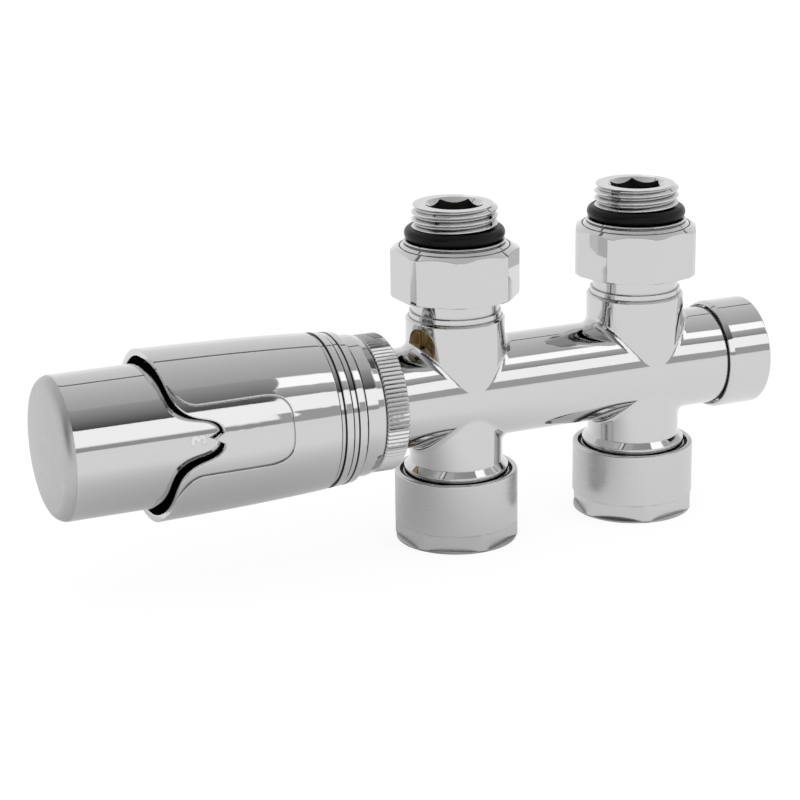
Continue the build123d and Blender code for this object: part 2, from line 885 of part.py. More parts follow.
valve_disc = turned_on_body(
    [
        (carrier_face, pin_r + fitted),
        (carrier_face, disc_r),
        (disc_face, disc_r),
        (disc_face, pin_r + fitted),
    ]
)
save(valve_disc, "valve_disc")

spring_end = -tail_end - spring_seat_length
return_spring = coil(stem_collar_right, spring_end, spring_r, spring_wire_r, spring_turns)
save(return_spring, "return_spring")

# Knurled ring nut that draws the head onto the insert's collar
head_nut_bore_r = bonnet_collar_r + run
nut_root_r = head_nut_bore_r + head_nut_wall
nut_knurl_r = nut_root_r + knurl_depth
neck_tube_r = bonnet_collar_r - neck_step
neck_hole_r = neck_tube_r + run
knurl_left = -head_nut_left + head_nut_end
knurl_right = -head_nut_right - head_nut_edge
tooth = 2 * pi / knurl_teeth
knurl_rim = []
for i in range(knurl_teeth):
    crest, root = i * tooth, (i + 0.5) * tooth
    knurl_rim.append((nut_knurl_r * cos(crest), axis_height + nut_knurl_r * sin(crest)))
    knurl_rim.append((nut_root_r * cos(root), axis_height + nut_root_r * sin(root)))
with BuildPart() as head_ring_nut:
    with BuildSketch(Plane.YZ.offset(-head_nut_left)):
        with BuildLine():
            Polyline(*knurl_rim, close=True)
        make_face()
    extrude(amount=head_nut_left - head_nut_right)
    with BuildSketch(body_plane):
        with BuildLine():
            Polyline(
                (-head_nut_left, neck_hole_r),
                (-head_nut_left, nut_knurl_r - head_nut_end),
                (knurl_left, nut_knurl_r),
                (knurl_right, nut_knurl_r),
                (-head_nut_right, nut_knurl_r - head_nut_edge),
                (-head_nut_right, head_nut_bore_r),
                (-head_nut_left + head_nut_lip, head_nut_bore_r),
                (-head_nut_left + head_nut_lip, neck_hole_r),
                close=True,
            )
        make_face()
    revolve(axis=body_axis, mode=Mode.INTERSECT)
save(head_ring_nut, "head_ring_nut")

# Snap ring behind the ring nut's lip
nut_clip_left = -head_nut_left + head_nut_lip + face_gap
nut_clip_right = nut_clip_left + head_clip_width
neck_groove_r = neck_tube_r - clip_depth
with BuildPart() as ring_nut_clip:
    with BuildSketch(Plane.YZ.offset(nut_clip_left)):
        with Locations((0, axis_height)):
            Circle(bonnet_collar_r - clip_inset)
            Circle(neck_groove_r + fitted, mode=Mode.SUBTRACT)
        with Locations((0, axis_height + bonnet_collar_r)):
            Rectangle(clip_opening, bonnet_collar_r, mode=Mode.SUBTRACT)
    extrude(amount=head_clip_width)
save(ring_nut_clip, "ring_nut_clip")

# Head base: neck in the ring nut, smooth ring, seat of the sleeve and the tube that the drum turns on
base_right = -collar_left - face_gap
base_ring_r = drum_r + base_ring_rise
base_step_r = base_ring_r - base_step
base_stop_r = bearing_r + base_stop_rise
seat_r = drum_r + sleeve_curve[-1][1] - sleeve_wall - fitted
sleeve_rib_r = seat_r - sleeve_rib
web_right = base_right - web_place
drum_stop = -drum_open_end + face_gap
drum_clip_right = -drum_clip_face
drum_clip_left = drum_clip_right - head_clip_width
base_left_end = drum_clip_left - tube_end_wall
neck_bore_r = bonnet_nose_r + neck_play
tube_inner_r = bearing_r - base_tube_wall
ring_right = -base_ring_left + base_ring_width
lug_left_x = drum_clip_right + lug_gap
with BuildPart() as head_base:
    with BuildSketch(body_plane):
        with BuildLine():
            Polyline(
                (base_right, neck_bore_r),
                (base_right, neck_tube_r),
                (nut_clip_right + fitted, neck_tube_r),
                (nut_clip_right + fitted, neck_groove_r),
                (nut_clip_left - fitted, neck_groove_r),
                (nut_clip_left - fitted, neck_tube_r),
                (-head_nut_left - face_gap, neck_tube_r),
                (-head_nut_left - face_gap, base_step_r),
                (ring_right, base_ring_r),
                (-base_ring_left, base_ring_r),
                (-base_ring_left, sleeve_rib_r),
                (-sleeve_right, sleeve_rib_r),
                (-sleeve_right, seat_r),
                (-sleeve_right - sleeve_seat, seat_r),
                (-sleeve_right - sleeve_seat, bearing_r),
                (drum_stop + base_stop, bearing_r),
                (drum_stop + base_stop, base_stop_r),
                (drum_stop, base_stop_r),
                (drum_stop, bearing_r),
                (drum_clip_right + fitted, bearing_r),
                (drum_clip_right + fitted, bearing_r - clip_depth),
                (drum_clip_left - fitted, bearing_r - clip_depth),
                (drum_clip_left - fitted, bearing_r),
                (base_left_end, bearing_r),
                (base_left_end, tube_inner_r),
                (web_right - web_thickness, tube_inner_r),
                (web_right - web_thickness, push_r + run),
                (web_right, push_r + run),
                (web_right, neck_bore_r),
                close=True,
            )
        make_face()
    revolve(axis=body_axis)
    # Two slots, open at the tube's end, keep the sensor carrier from turning
    slot_left = base_left_end - overrun
    slot_right = lug_left_x + lug_length + lug_travel
    with BuildSketch(Plane.XY.offset(axis_height)):
        with Locations(((slot_left + slot_right) / 2, 0)):
            Rectangle(slot_right - slot_left, lug_width + 2 * run)
    extrude(amount=bearing_r + overrun, both=True, mode=Mode.SUBTRACT)
save(head_base, "head_base")

# Snap ring that keeps the drum on the tube
drum_relief_r = base_stop_r
with BuildPart() as drum_clip:
    with BuildSketch(Plane.YZ.offset(drum_clip_left)):
        with Locations((0, axis_height)):
            Circle(drum_relief_r - clip_inset)
            Circle(bearing_r - clip_depth + fitted, mode=Mode.SUBTRACT)
        with Locations((0, axis_height - drum_relief_r)):
            Rectangle(clip_opening, drum_relief_r, mode=Mode.SUBTRACT)
    extrude(amount=head_clip_width)
save(drum_clip, "drum_clip")

# Plane that faces the wave's middle; its second direction runs up across the sleeve
front_plane = Plane(
    origin=(0, 0, axis_height),
    x_dir=(1, 0, 0),
    z_dir=(0, -cos(radians(front_angle)), sin(radians(front_angle))),
)


lip_r = drum_r + sleeve_curve[0][1]
pointer_root_x = -lip_left + notch_half[0][0] + pointer_root
pointer_root_half = pointer_half * (1 + pointer_root / (notch_half[0][0] - pointer_tip))


def sleeve_points(offset):
    """Points along the sleeve's wall, moved out by an offset."""
    return [(-sleeve_right - x, drum_r + rise + offset) for x, rise in sleeve_curve]


def behind_lip(points, side=1):
    """Points of a curve given behind the lip, on the upper side (1) or the lower side (-1)."""
    return [(-lip_left + x, side * v) for x, v in points]


# Cutter for the shallow panel: a U-shaped block without the sleeve's core
bend_x, flare_x = (-lip_left + place for place in panel_straight)
with BuildPart() as panel_cutter:
    with BuildSketch(front_plane):
        with BuildLine():
            u_upper = Spline(
                (flare_x, panel_half), *behind_lip(panel_flare), tangents=((-1, 0), (-0.4, 0.9))
            )
            u_lower = Spline(
                (flare_x, -panel_half), *behind_lip(panel_flare, -1), tangents=((-1, 0), (-0.4, -0.9))
            )
            Line(u_upper @ 1, u_lower @ 1)
            Line((flare_x, panel_half), (bend_x, panel_half))
            Line((flare_x, -panel_half), (bend_x, -panel_half))
            Spline(
                (bend_x, panel_half),
                (-lip_left + panel_end, 0),
                (bend_x, -panel_half),
                tangents=((1, 0), (-1, 0)),
            )
        make_face()
    extrude(amount=lip_r + overrun)
    with BuildSketch(body_plane):
        with BuildLine():
            floor_line = Spline(*sleeve_points(-panel_depth))
            Polyline(
                floor_line @ 1,
                (-sleeve_right, 0),
                (-lip_left - overrun, 0),
                (-lip_left - overrun, lip_r - panel_depth),
                floor_line @ 0,
            )
        make_face()
    revolve(axis=body_axis, mode=Mode.SUBTRACT)

# Sleeve: flared tube with two grooves, a wave-shaped lip with a pointer, and the shallow panel
with BuildPart() as head_sleeve:
    with BuildSketch(body_plane):
        with BuildLine():
            outer = Spline(*sleeve_points(0))
            inner = Spline(*sleeve_points(-sleeve_wall))
            Line(outer @ 0, inner @ 0)
            Line(outer @ 1, inner @ 1)
        make_face()
    revolve(axis=body_axis)
    with BuildSketch(body_plane):
        for place, width in zip(groove_places, groove_widths):
            with Locations((-sleeve_right - place, drum_r + groove_rise)):
                Rectangle(width, groove_reach, align=(Align.CENTER, Align.MIN))
    revolve(axis=body_axis, mode=Mode.SUBTRACT)
    add(panel_cutter.part, mode=Mode.SUBTRACT)
    with BuildSketch(front_plane):
        with BuildLine():
            wave = Spline(*behind_lip(reversed(notch_half), -1), *behind_lip(notch_half[1:]))
            Polyline(
                wave @ 1,
                (-lip_left - overrun, notch_half[-1][1]),
                (-lip_left - overrun, -notch_half[-1][1]),
                wave @ 0,
            )
        make_face()
        with BuildLine():
            Polyline(
                (pointer_root_x, pointer_root_half),
                (-lip_left + pointer_tip, 0),
                (pointer_root_x, -pointer_root_half),
                close=True,
            )
        make_face(mode=Mode.SUBTRACT)
    extrude(amount=lip_r + overrun, mode=Mode.SUBTRACT)
save(head_sleeve, "head_sleeve")

# Drum: the handle, turning on the base's tube, with a domed end
relief_end = drum_clip_right - drum_relief_length
crown_x = -drum_shoulder - drum_round
crown_r = drum_r - drum_round
dome_r = (crown_r**2 + drum_crown**2) / (2 * drum_crown)
dome_mid_x = crown_x - drum_crown + dome_r - sqrt(dome_r**2 - (crown_r / 2) ** 2)
with BuildPart() as dial_drum:
    with BuildSketch(body_plane):
        with BuildLine():
            Polyline(
                (-drum_open_end, drum_bore_r),
                (-drum_open_end, drum_r - drum_edge),
                (-drum_open_end - drum_edge, drum_r),
                (-drum_shoulder, drum_r),
            )
            TangentArc((-drum_shoulder, drum_r), (crown_x, crown_r), tangent=(-1, 0))
            ThreePointArc((crown_x, crown_r), (dome_mid_x, crown_r / 2), (crown_x - drum_crown, 0))
            Polyline(
                (crown_x - drum_crown, 0),
                (crown_x + drum_end_wall, 0),
                (crown_x + drum_end_wall, drum_bore_r),
                (relief_end, drum_bore_r),
                (relief_end, drum_relief_r),
                (drum_clip_right + face_gap, drum_relief_r),
                (drum_clip_right + face_gap, drum_bore_r),
                (-drum_open_end, drum_bore_r),
            )
        make_face()
    revolve(axis=body_axis)
save(dial_drum, "dial_drum")

# Sensor carrier: cup in the base's tube, with lugs in the slots that the drum's thread moves
guide_left_x = lug_left_x - guide_reach
guide_floor_x = guide_left_x + guide_floor
guide_r = tube_inner_r - run
guide_bore_r = guide_r - guide_wall
with BuildPart() as sensor_carrier:
    with BuildSketch(Plane.YZ.offset(guide_left_x)):
        with Locations((0, axis_height)):
            Circle(guide_r)
    extrude(amount=guide_length)
    with BuildSketch(Plane.XY.offset(axis_height)):
        with Locations((lug_left_x + lug_length / 2, 0)):
            Rectangle(lug_length, lug_width)
    extrude(amount=drum_bore_r - lug_inset, both=True)
    with BuildSketch(Plane.YZ.offset(guide_floor_x)):
        with Locations((0, axis_height)):
            Circle(guide_bore_r)
    extrude(amount=guide_length, mode=Mode.SUBTRACT)
save(sensor_carrier, "sensor_carrier")

capsule_r = guide_bore_r - capsule_play
capsule_left_x = guide_floor_x + overload_room
capsule_right = capsule_left_x + capsule_length
sensor_capsule = turned_on_body(
    [
        (capsule_left_x, 0),
        (capsule_left_x, capsule_r - capsule_edge),
        (capsule_left_x + capsule_edge, capsule_r),
        (capsule_right - capsule_edge, capsule_r),
        (capsule_right, capsule_r - capsule_edge),
        (capsule_right, capsule_nose_r),
        (capsule_right + capsule_nose, capsule_nose_r),
        (capsule_right + capsule_nose, 0),
    ]
)
save(sensor_capsule, "sensor_capsule")

overload_spring = coil(guide_floor_x, capsule_left_x, overload_r, overload_wire_r, overload_turns)
save(overload_spring, "overload_spring")

push_left = capsule_right + capsule_nose
push_pin = turned_on_body(
    [
        (push_left, 0),
        (push_left, push_plate_r),
        (push_left + push_plate, push_plate_r),
        (push_left + push_plate, push_r),
        (pin_end_x - fitted, push_r),
        (pin_end_x - fitted, 0),
    ]
)
save(push_pin, "push_pin")

# Lockshield bush, screwed into the body's right end: hexagonal guide, room for the spindle's collar
bush_room_left = bush_left + bush_guide_length
bush_room_right = bush_room_left + bush_room
bush_ring_x = bush_left + bush_ring_place
spindle_ring_x = (bush_room_right + bush_end) / 2
spindle_bore_r = spindle_r + run
spindle_groove_r = spindle_r + 2 * spindle_ring_wire_r
with BuildPart() as lockshield_bush:
    with BuildSketch(body_plane):
        with BuildLine():
            Polyline(
                (bush_left, 0),
                (bush_left, bush_r),
                (bush_ring_x - bush_ring_wire_r, bush_r),
                (bush_ring_x - bush_ring_wire_r, bush_r - 2 * bush_ring_wire_r),
                (bush_ring_x + bush_ring_wire_r, bush_r - 2 * bush_ring_wire_r),
                (bush_ring_x + bush_ring_wire_r, bush_r),
                (bush_end, bush_r),
                (bush_end, spindle_bore_r),
                (spindle_ring_x + spindle_ring_wire_r, spindle_bore_r),
                (spindle_ring_x + spindle_ring_wire_r, spindle_groove_r),
                (spindle_ring_x - spindle_ring_wire_r, spindle_groove_r),
                (spindle_ring_x - spindle_ring_wire_r, spindle_bore_r),
                (bush_room_right, spindle_bore_r),
                (bush_room_right, bush_room_r),
                (bush_room_left, bush_room_r),
                (bush_room_left, 0),
                close=True,
            )
        make_face()
    revolve(axis=body_axis)
    with BuildSketch(Plane.YZ.offset(bush_left)):
        with Locations((0, axis_height)):
            RegularPolygon(plug_flats / 2 + run, 6, major_radius=False)
    extrude(amount=bush_guide_length, mode=Mode.SUBTRACT)
save(lockshield_bush, "lockshield_bush")

bush_ring_centre = (bush_ring_x, bush_r + fitted - bush_ring_wire_r)
bush_seal = ring(body_plane, body_axis, bush_ring_centre, bush_ring_wire_r - fitted / 2)
save(bush_seal, "bush_seal")

# Spindle: slotted end, collar in the bush's room and a threaded tail in the plug
collar_right_x = bush_room_right - face_gap
spindle_clip_left = bush_end + face_gap
spindle_clip_right = spindle_clip_left + spindle_clip_width
plug_face = seat_x + plug_lift + shut_gap
plug_head_left = plug_face + plug_disc
plug_bore_end = plug_head_left + plug_wall
plug_end = bush_left + plug_guide
spindle_end = bush_end + spindle_stand
with BuildPart() as lockshield_spindle:
    with BuildSketch(body_plane):
        with BuildLine():
            Polyline(
                (plug_bore_end + plug_lift + face_gap, 0),
                (plug_bore_end + plug_lift + face_gap, spindle_tail_r),
                (collar_right_x - spindle_collar, spindle_tail_r),
                (collar_right_x - spindle_collar, spindle_collar_r),
                (collar_right_x, spindle_collar_r),
                (collar_right_x, spindle_r),
                (spindle_clip_left - fitted, spindle_r),
                (spindle_clip_left - fitted, spindle_r - spindle_clip_bite),
                (spindle_clip_right + fitted, spindle_r - spindle_clip_bite),
                (spindle_clip_right + fitted, spindle_r),
                (spindle_end, spindle_r),
                (spindle_end, 0),
                close=True,
            )
        make_face()
    revolve(axis=body_axis)
    with BuildSketch(Plane.YZ.offset(spindle_end)):
        with Locations((0, axis_height)):
            Rectangle(key_slot, 2 * spindle_r)
    extrude(amount=-key_slot_depth, mode=Mode.SUBTRACT)
save(lockshield_spindle, "lockshield_spindle")

spindle_ring_centre = (spindle_ring_x, spindle_r + spindle_ring_wire_r)
spindle_seal = ring(body_plane, body_axis, spindle_ring_centre, spindle_ring_wire_r - fitted / 2)
save(spindle_seal, "spindle_seal")

with BuildPart() as spindle_clip:
    with BuildSketch(Plane.YZ.offset(spindle_clip_left)):
        with Locations((0, axis_height)):
            Circle(spindle_clip_r)
            Circle(spindle_r - spindle_clip_bite + fitted, mode=Mode.SUBTRACT)
        with Locations((0, axis_height + spindle_clip_r)):
            Rectangle(spindle_clip_opening, spindle_clip_r, mode=Mode.SUBTRACT)
    extrude(amount=spindle_clip_width)
save(spindle_clip, "spindle_clip")

# Plug: rubber face towards the seat, hexagonal guide in the bush, bore for the spindle's thread
with BuildPart() as lockshield_plug:
    with BuildSketch(Plane.YZ.offset(plug_head_left)):
        with Locations((0, axis_height)):
            RegularPolygon(plug_flats / 2, 6, major_radius=False)
    extrude(amount=plug_end - plug_head_left)
    with BuildSketch(Plane.YZ.offset(plug_head_left)):
        with Locations((0, axis_height)):
            Circle(plug_head_r)
    extrude(amount=plug_head)
    with BuildSketch(Plane.YZ.offset(plug_face + plug_disc / 3)):
        with Locations((0, axis_height)):
            Circle(plug_stud_r)
    extrude(amount=plug_disc)
    with BuildSketch(Plane.YZ.offset(plug_end)):
        with Locations((0, axis_height)):
            Circle(spindle_tail_r + run)
    extrude(amount=plug_bore_end - plug_end, mode=Mode.SUBTRACT)
save(lockshield_plug, "lockshield_plug")

plug_seal = turned_on_body(
    [
        (plug_face, plug_stud_r + fitted),
        (plug_face, plug_disc_r),
        (plug_head_left, plug_disc_r),
        (plug_head_left, plug_stud_r + fitted),
    ]
)
save(plug_seal, "plug_seal")

# Cap over the lockshield, screwed onto the body's threaded spigot
cap_r = tube_r + cap_cover
cap_mouth_r = tube_r + cap_mouth_play
cap_left = tube_right - cap_overlap
cap_right = cap_left + cap_length
cap_thread_x = cap_left + cap_mouth
cap_inner_x = cap_right - cap_wall
with BuildPart() as lockshield_cap:
    with BuildSketch(body_plane):
        with BuildLine():
            Polyline(
                (cap_left, cap_mouth_r),
                (cap_left, cap_mouth_r + cap_mouth_edge),
                (cap_left + cap_bevel, cap_r),
                (cap_right, cap_r),
                (cap_right, 0),
                (cap_inner_x, 0),
                (cap_inner_x, shield_thread_r + run),
                (cap_thread_x, shield_thread_r + run),
                (cap_thread_x, cap_mouth_r),
                close=True,
            )
        make_face()
    revolve(axis=body_axis)
    cap_rim = edges().filter_by(GeomType.CIRCLE).sort_by(Axis.X)[-1]
    fillet(cap_rim, cap_edge)
save(lockshield_cap, "lockshield_cap")
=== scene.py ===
import json
import math

import bmesh
import bpy
from mathutils import Matrix, Vector


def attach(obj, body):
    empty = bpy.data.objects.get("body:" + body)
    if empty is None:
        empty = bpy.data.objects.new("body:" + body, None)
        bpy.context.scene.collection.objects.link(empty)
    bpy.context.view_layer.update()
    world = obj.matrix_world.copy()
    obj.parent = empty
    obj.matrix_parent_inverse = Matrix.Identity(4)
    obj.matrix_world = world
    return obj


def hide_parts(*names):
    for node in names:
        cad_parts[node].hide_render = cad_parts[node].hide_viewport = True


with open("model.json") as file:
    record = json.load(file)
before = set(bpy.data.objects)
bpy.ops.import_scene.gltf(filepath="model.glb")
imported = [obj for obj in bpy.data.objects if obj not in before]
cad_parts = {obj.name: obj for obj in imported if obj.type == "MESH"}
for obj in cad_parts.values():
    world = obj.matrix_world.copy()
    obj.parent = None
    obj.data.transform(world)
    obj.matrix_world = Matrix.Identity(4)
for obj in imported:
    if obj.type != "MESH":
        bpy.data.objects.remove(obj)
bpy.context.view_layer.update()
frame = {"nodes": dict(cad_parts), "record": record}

# Places on the valve, in metres, as the CAD source has them
MM = 0.001
AXIS_Z = 0.0375
PORT_X = {"left": -0.025, "right": 0.025}
DRUM_R = 0.0171

# Stretches along X with a look of their own: the drum's end, with a satin finish, and the corners
# of the sleeve's two grooves and the gap between the sleeve and the base, with painted shade
DRUM_END = (-0.14, -0.12655)
GROOVE_SHADE_BANDS = ((-0.0632, -0.0628), (-0.0621, -0.06175), (-0.06005, -0.05965), (-0.0587, -0.0583))
BASE_GAP_SHADE_BAND = (-0.0566, -0.05565)

# Grey of the plating: mirror, turned nut, satin end; and the painted shade in a groove's corner
BRIGHT = 0.62
TURNED = 0.6
SATIN = 0.52
GROOVE = 0.04

# Painted shade in narrow gaps: how far it reaches, its tone as a share of the plating's, and the
# openness at which it is full and gone
SHADE_REACH = 0.0012
SHADE_SHARE = 0.1
SHADE_FULL = 0.32
SHADE_GONE = 0.8
SHADER_SAMPLES = 6

# A noise keeps mostly between these values
NOISE_LOW = 0.3
NOISE_HIGH = 0.7

# Numerals on the drum, with the front one at the sleeve's pointer, this angle up from the front
NUMERALS = "0*12345"
FRONT_NUMERAL = 4
FRONT_ANGLE = math.radians(9.3)
NUMERAL_STEP = math.radians(45)
NUMERAL_TOP_X = -0.0994
NUMERAL_HEIGHT = 0.0034
NUMERAL_THICKNESS = 0.00004
NUMERAL_WEIGHT = 0.00026
NUMERAL_CUTS = 12
CURVE_STEPS = 6
HEIGHT_OF_SIZE = 0.7

# Nipple, in millimetres: half section as in the CAD source, with the thread cut into its upper end
NOSE_Z = {"end": 63.0, "groove": 64.4, "groove_top": 65.8, "cone": 67.5, "shoulder": 69.1}
BORE_R = 5.6
NOSE_R = 7.94
NOSE_GROOVE_R = 6.6
SHOULDER_R = 9.54
STEM_R = 10.54
CLIP_GROOVE_R = 9.89
CLIP_GROOVE_Z = (70.65, 71.65)
FLANGE_Z = 73.5
FLANGE_R = 13.25
FLANGE_RIM = 0.9
FLANGE_STEP = 1.5
FLANGE_STEP_R = 12.45
FLANGE_GROOVE_R = 12.0
FLANGE_LAND = 0.3
FLANGE_TOP_Z = 75.85
RING_SEAT_R = 9.05
THREAD_Z = 79.1
NIPPLE_TOP_Z = 84.5
CREST_R = 10.48
ROOT_R = 9.45
THREAD_LEAD = 0.8
THREAD_TOP_R = 10.05
THREAD_PITCH = 1.814
THREAD_EARLY_TURNS = 2
THREAD_PROFILE = ((0.0, ROOT_R), (0.1, ROOT_R), (0.42, CREST_R), (0.58, CREST_R), (0.9, ROOT_R))
HEX_SIDE = math.radians(60)
HEX_INNER_R = 6.0
HEX_DEPTH = 10.0
HEX_MOUTH_R = 7.2
HEX_TURN = {"left": math.radians(-25), "right": math.radians(10)}
NIPPLE_COLUMNS = 96
SOCKET_ROWS = 4
NIPPLE_SHARP_ANGLE = 35
MERGE_DISTANCE = 0.000001

# The studio's white: the world as a light and as seen; the floor as matt things meet it, its
# matt part and glow as seen, and its matt part in metal
WORLD_LIGHT = 0.8
WORLD_SEEN = 1.0
FLOOR_HALF = 6
FLOOR_MATT = 0.8
FLOOR_SEEN = (0.2, 0.86)
FLOOR_IN_METAL = 0.25

# The floor that metal mirrors glows less under the head, inside an ellipse round this place, as a
# painted shadow of the head
DIM_X = -0.085
DIM_HALF_X = 0.11
DIM_HALF_Y = 0.09
DIM_EDGES = (0.1, 1.15)
DIM_GLOWS = (0.38, 0.79)

# Lamps and strips lie along the body, on a wide circle around it. From the head's chrome the
# reflected view reaches them left of SPLIT_X, from the body's chrome right of it.
LAMP_DISTANCE = 1.2
STRIP_DISTANCE = 1.15
STRIP_LEFT = -1.5
STRIP_RIGHT = 2.5
SPLIT_X = 0.43
FOR_BOTH = (STRIP_LEFT, STRIP_RIGHT)
FOR_HEAD = (STRIP_LEFT, SPLIT_X)
FOR_BODY = (SPLIT_X, STRIP_RIGHT)

# Each with its angles up from the front, its places along the body, and its radiance, or the
# tones of its lower and upper edge
SOFT_BOXES = (
    ("front_lamp", (15, 43), FOR_BOTH, 0.36),
    ("upper_lamp", (57.5, 72), FOR_BODY, 0.55),
)
STRIPS = (
    ("front_gap_head", (7, 13.5), FOR_HEAD, (0.42, 0.42)),
    ("front_gap_body", (7, 21.5), FOR_BODY, (0.49, 0.49)),
    ("lamp_gap_head", (40, 54), FOR_HEAD, (0.08, 0.25)),
    ("lamp_gap_body", (43, 57), FOR_BODY, (0.36, 0.6)),
    ("upper_shade", (54, 73), FOR_HEAD, (0.25, 0.45)),
    ("ceiling", (73, 123), FOR_BOTH, (0.52, 0.78)),
    ("ceiling_edge", (124, 127.5), FOR_BOTH, (0.2, 0.2)),
    ("back", (128, 165), FOR_BOTH, (0.8, 0.95)),
)

# A dark wall on the left, which edges turned that way mirror
WALL_X = -1.3
WALL_Y = (-1.6, -0.1)
WALL_Z = (0.12, 1.4)
WALL_TONE = 0.05

# Camera at the photograph's place
IMAGE_SIZE = 800
FOCAL_PIXELS = 2403.4
SENSOR = 36.0
CAMERA_PLACE = Vector((-0.26627, -0.51083, 0.17422 + AXIS_Z))
CAMERA_YAW = -0.417
CAMERA_PITCH = 0.303
CAMERA_ROLL = -0.014
CAMERA_REACH = 30


def add_object(name, data):
    """A new object in the scene."""
    obj = bpy.data.objects.new(name, data)
    bpy.context.scene.collection.objects.link(obj)
    return obj


def set_smooth(obj, angle):
    """Shades a mesh smooth, with its edges sharp above an angle in degrees."""
    for face in obj.data.polygons:
        face.use_smooth = True
    obj.data.set_sharp_from_angle(angle=math.radians(angle))


def node_of(tree, kind, **inputs):
    """A shader node with some of its inputs set."""
    node = tree.nodes.new(kind)
    for name, value in inputs.items():
        node.inputs[name.replace("_", " ")].default_value = value
    return node


def map_range(tree, value, source, target):
    """A value moved from one range to another and held inside it; returns the node."""
    ramp = node_of(
        tree,
        "ShaderNodeMapRange",
        From_Min=source[0],
        From_Max=source[1],
        To_Min=target[0],
        To_Max=target[1],
    )
    tree.links.new(value, ramp.inputs["Value"])
    return ramp


def colour_ramp(tree, value, first, second):
    """A colour that runs between two places of a value, each given with its colour."""
    ramp = tree.nodes.new("ShaderNodeValToRGB")
    for element, (position, colour) in zip(ramp.color_ramp.elements, (first, second)):
        element.position = position
        element.color = (*colour, 1)
    tree.links.new(value, ramp.inputs["Fac"])
    return ramp.outputs["Color"]


def noise_of(tree, scale, detail, stretch=(1, 1, 1)):
    """A noise in the object's own frame, stretched along its axes."""
    place = tree.nodes.new("ShaderNodeTexCoord")
    mapping = node_of(tree, "ShaderNodeMapping", Scale=stretch)
    noise = node_of(tree, "ShaderNodeTexNoise", Scale=scale, Detail=detail)
    tree.links.new(place.outputs["Object"], mapping.inputs["Vector"])
    tree.links.new(mapping.outputs["Vector"], noise.inputs["Vector"])
    return noise.outputs["Fac"]


def mix_by(tree, factor, plain, other):
    """A mix of two shaders by a factor."""
    mix = tree.nodes.new("ShaderNodeMixShader")
    tree.links.new(factor, mix.inputs["Fac"])
    tree.links.new(plain, mix.inputs[1])
    tree.links.new(other, mix.inputs[2])
    return mix.outputs[0]


def larger_of(tree, first, second):
    """The larger of two values."""
    larger = tree.nodes.new("ShaderNodeMath")
    larger.operation = "MAXIMUM"
    tree.links.new(first, larger.inputs[0])
    tree.links.new(second, larger.inputs[1])
    return larger.outputs[0]


def between_places(tree, places):
    """1 where the object's own X lies between two places, for any of the pairs, and 0 elsewhere."""
    here = tree.nodes.new("ShaderNodeTexCoord")
    split = tree.nodes.new("ShaderNodeSeparateXYZ")
    tree.links.new(here.outputs["Object"], split.inputs["Vector"])
    inside = None
    for low, high in places:
        near = tree.nodes.new("ShaderNodeMath")
        near.operation = "COMPARE"
        near.inputs[1].default_value = (low + high) / 2
        near.inputs[2].default_value = (high - low) / 2
        tree.links.new(split.outputs["X"], near.inputs[0])
        inside = larger_of(tree, inside, near.outputs[0]) if inside else near.outputs[0]
    return inside


def new_material(name, colour, metallic, roughness, **inputs):
    """A Principled material; returns it with its tree and its shader."""
    material = bpy.data.materials.new(name)
    material.use_nodes = True
    tree = material.node_tree
    shader = tree.nodes["Principled BSDF"]
    shader.inputs["Base Color"].default_value = (*colour, 1)
    shader.inputs["Metallic"].default_value = metallic
    shader.inputs["Roughness"].default_value = roughness
    for key, value in inputs.items():
        shader.inputs[key.replace("_", " ")].default_value = value
    return material, tree, shader


def empty_material(name):
    """A material whose surface is still open; returns it with its tree."""
    material = bpy.data.materials.new(name)
    material.use_nodes = True
    tree = material.node_tree
    tree.nodes.remove(tree.nodes["Principled BSDF"])
    return material, tree


def roughness_from_noise(tree, shader, scale, low, high, stretch=(1, 1, 1)):
    """Lets the roughness wander between two values."""
    noise = noise_of(tree, scale, 4, stretch)
    ramp = map_range(tree, noise, (NOISE_LOW, NOISE_HIGH), (low, high))
    tree.links.new(ramp.outputs["Result"], shader.inputs["Roughness"])


def soft_edges(tree, shader, radius, scale, height, stretch=(1, 1, 1)):
    """Rounds the look of edges, with a fine unevenness on top."""
    bevel = node_of(tree, "ShaderNodeBevel", Radius=radius)
    bevel.samples = SHADER_SAMPLES
    bump = node_of(tree, "ShaderNodeBump", Strength=1.0, Distance=height)
    tree.links.new(noise_of(tree, scale, 3, stretch), bump.inputs["Height"])
    tree.links.new(bevel.outputs["Normal"], bump.inputs["Normal"])
    tree.links.new(bump.outputs["Normal"], shader.inputs["Normal"])


def paint_corner_shade(tree, shader, colour):
    """Paints shade into the plating's colour in narrow gaps and inner corners, darker where less is
    open around.
    """
    open_share = node_of(tree, "ShaderNodeAmbientOcclusion", Distance=SHADE_REACH)
    open_share.samples = SHADER_SAMPLES
    shade = [SHADE_SHARE * part for part in colour]
    tone = colour_ramp(tree, open_share.outputs["AO"], (SHADE_FULL, shade), (SHADE_GONE, colour))
    tree.links.new(tone, shader.inputs["Base Color"])
    return tone


def make_chrome(name, grey, low, high, edge, wave_scale, wave_height):
    """Bright plating: a mirror with faint unevenness, softened edges and slightly uneven gloss."""
    material, tree, shader = new_material(name, (grey, grey, grey), 1.0, low)
    roughness_from_noise(tree, shader, 90, low, high)
    soft_edges(tree, shader, edge, wave_scale, wave_height)
    paint_corner_shade(tree, shader, (grey, grey, grey))
    return material


